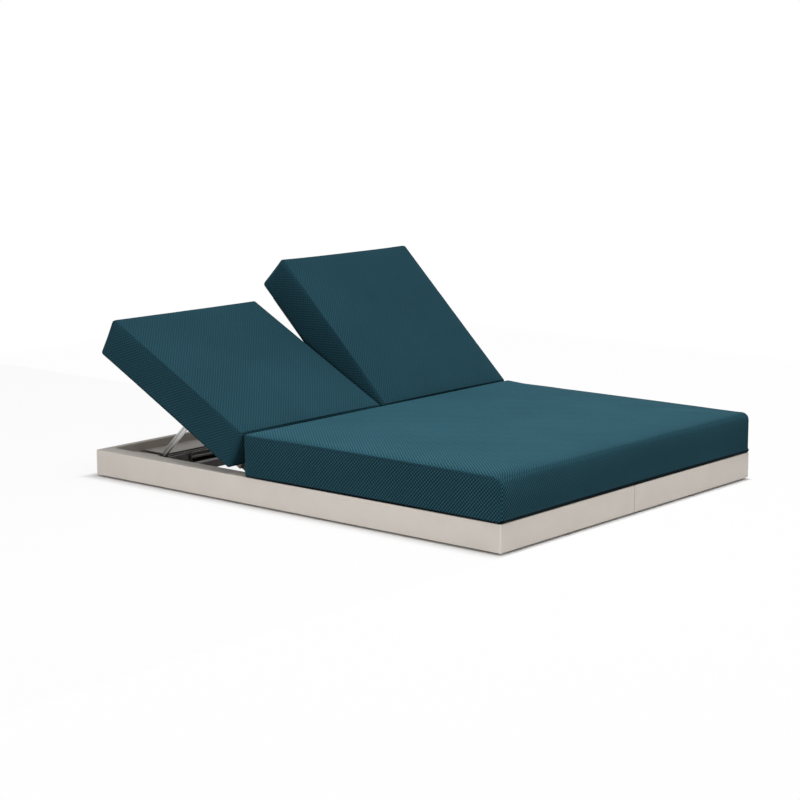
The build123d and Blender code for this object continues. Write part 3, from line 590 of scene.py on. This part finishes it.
def painted_light_and_shade(points, faces, panels, painted_shade_strip, size,
              top_shade, head_shade, band_shade, strip_shade, soft):
    """The painted light and shade at each corner of each quad: a lighter top, a darker band, and a
    darker strip round the bottom arris. The top's runs evenly from foot to head, and goes over into the
    band's along the foot and right arrises, by a smooth step over that distance each way, and at once
    elsewhere."""
    corner = points[faces]

    def eased(inward):
        """The share of the top's shade, by a smooth step in the distance in from an arris."""
        share = np.clip((inward + corner[..., 2] - size[2]) / (2 * soft) + 0.5, 0, 1)
        return share * share * (3 - 2 * share)

    from_foot = eased(size[1] / 2 + corner[..., 1])
    from_right = eased(size[0] / 2 - corner[..., 0])
    panels = panels[:, None]
    share = np.where(panels == top_panel, np.minimum(from_foot, from_right),
                     from_foot * (panels == foot_panel) + from_right * (panels == right_panel))
    on_top = top_shade + (head_shade - top_shade) * (corner[..., 1] / size[1] + 0.5)
    shade = band_shade + (on_top - band_shade) * share
    return np.where(painted_shade_strip[:, None], strip_shade, shade).ravel()


def make_cushion(name, node, body, angle, crown, corners, rolls, shades, slack, seed):
    """Makes a cushion's cover as large as its CAD node, which it measures with the back laid flat,
    and stands it at its angle about the hinge line. The cover starts smaller by the cap and swells
    to size. Where it isn't blown up, it gets the same crown by one minus the cube of each share.
    Waves of a few tenths of a millimetre, at random but seeded directions, leave it a little
    uneven. The loops' relief falls off from the left side to a least share and towards the head.

    corners: the upright corners' radii at the foot and the head. rolls: the top arrises' radii at the
    left, right, foot and head. shades: painted light and shade, the top's at the foot and the head, the
    band's, the strip's round the bottom arris, and half the width over which they meet. slack: the
    relief's strength, its least share, the distance over which it falls off, and its share at the head.
    A cover with a wide roll at the foot has no seam along its foot and right top arrises."""
    draw, arris, seam, cap, coarse = 0.003, 0.012, 0.0010, 0.005, 0.024
    wide_roll, past_stitches, sewn_share, under_depth = 0.02, 0.02, 0.3, 0.0005
    wave_count, wave_rates, wave_height = 9, (18, 18, 6), 0.00035
    block = laid_flat(node, angle)
    low, high = block.min(0), block.max(0)
    size = high - low - (0, 0, crown)
    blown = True
    points, faces, chart, panels, painted_shade_strip, from_seam = rounded_block(
        size, arris, corners, rolls, coarse, draw + cap * blown, seam)
    shade = painted_light_and_shade(points, faces, panels, painted_shade_strip, size, *shades)
    if rolls[2] > wide_roll:
        edge = np.minimum(points[:, 1] + size[1] / 2, size[0] / 2 - points[:, 0])
        seamless = (edge < rolls[2]) & (points[:, 2] > size[2] / 2)
        from_seam = np.where(seamless, np.maximum(from_seam, past_stitches), from_seam)
    top_share = np.clip(points[:, 2] / size[2], 0, 1)
    shares = 2 * points[:, :2] / size[:2]
    if not blown:
        points[:, 2] += crown * np.prod(1 - np.abs(shares) ** 3, axis=1) * top_share
    chance = np.random.default_rng(seed)
    for _ in range(wave_count):
        wave = chance.normal(size=3) * wave_rates
        height = wave_height * np.sin(points @ wave + chance.uniform(0, 6.28))
        points[:, 2] += height * top_share * np.prod(1 - np.abs(shares) ** 6, axis=1)
    points = points + [(low[0] + high[0]) / 2, (low[1] + high[1]) / 2, low[2]]
    cushion = make_piece(name, stood_up(points, angle), faces, teal_knit, body)
    cover = cushion.data
    cover.uv_layers.new(name="cover").data.foreach_set("uv", chart.astype(np.float32).ravel())
    strength, least, reach, at_head = slack
    relief = least + (1 - least) * np.exp(-(shares[:, 0] + 1) * size[0] / 2 / reach)
    relief *= strength * (1 + (at_head - 1) * (shares[:, 1] + 1) / 2)
    for attribute, where, values in (("shade", "CORNER", shade), ("relief", "POINT", relief),
                                     ("from_seam", "POINT", from_seam)):
        held = cover.attributes.new(attribute, "FLOAT", where).data
        held.foreach_set("value", values.astype(np.float32))
    if blown:
        loose = np.clip(from_seam / arris - sewn_share, 0, 1) * (points[:, 2] > low[2] + under_depth)
        swell(cushion, loose, cap)
    finer = cushion.modifiers.new("finer", "SUBSURF")
    finer.levels = finer.render_levels = 1
    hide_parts(node)


knit_low, knit_high, thread = (0.0056, 0.0232, 0.0330), (0.0290, 0.1000, 0.1345), (0.006, 0.016, 0.022)
seat_crown, seat_corners, seat_rolls = 0.002, (0.022, 0.014), (0.012, 0.022, 0.032, 0.012)
# Seat shades are painted light and shade: the top lighter at 1.34, the band darker at 0.80, and the
# strip round the bottom arris near-black at 0.03.
seat_shades, seat_slack = (1.34, 1.34, 0.80, 0.03, 0.100), (1.15, 0.25, 0.25, 0.7)
teal_knit = knit("teal_knit")
make_cushion("seat_cushion_cover", "seat_cushion", "frame", 0, seat_crown, seat_corners, seat_rolls,
             seat_shades, seat_slack, 1)

# Back cushions: two more blocks of the same foam and knit, one on each back frame, with their
# lower ends just clear of the seat cushion at the hinge line and their head corners well rounded.
back_crown, back_corners, back_rolls = 0.005, (0.014, 0.024), (0.016, 0.022, 0.013, 0.018)
# Back shades are painted light and shade: each top darker at the head than at the foot, a darker band,
# and a darker strip round the bottom arris.
back_shades = {"left": (1.02, 0.88, 0.80, 0.4, 0.02), "right": (0.95, 0.86, 0.82, 0.4, 0.02)}
back_slack = {"left": (0.5, 0.55, 0.3, 0.8), "right": (0.5, 0.35, 0.15, 0.8)}
for seed, (side, angle) in enumerate(rest_angles.items(), 2):
    make_cushion(f"back_cushion_{side}_cover", f"back_cushion_{side}", f"{side}_back", angle, back_crown,
                 back_corners, back_rolls, back_shades[side], back_slack[side], seed)
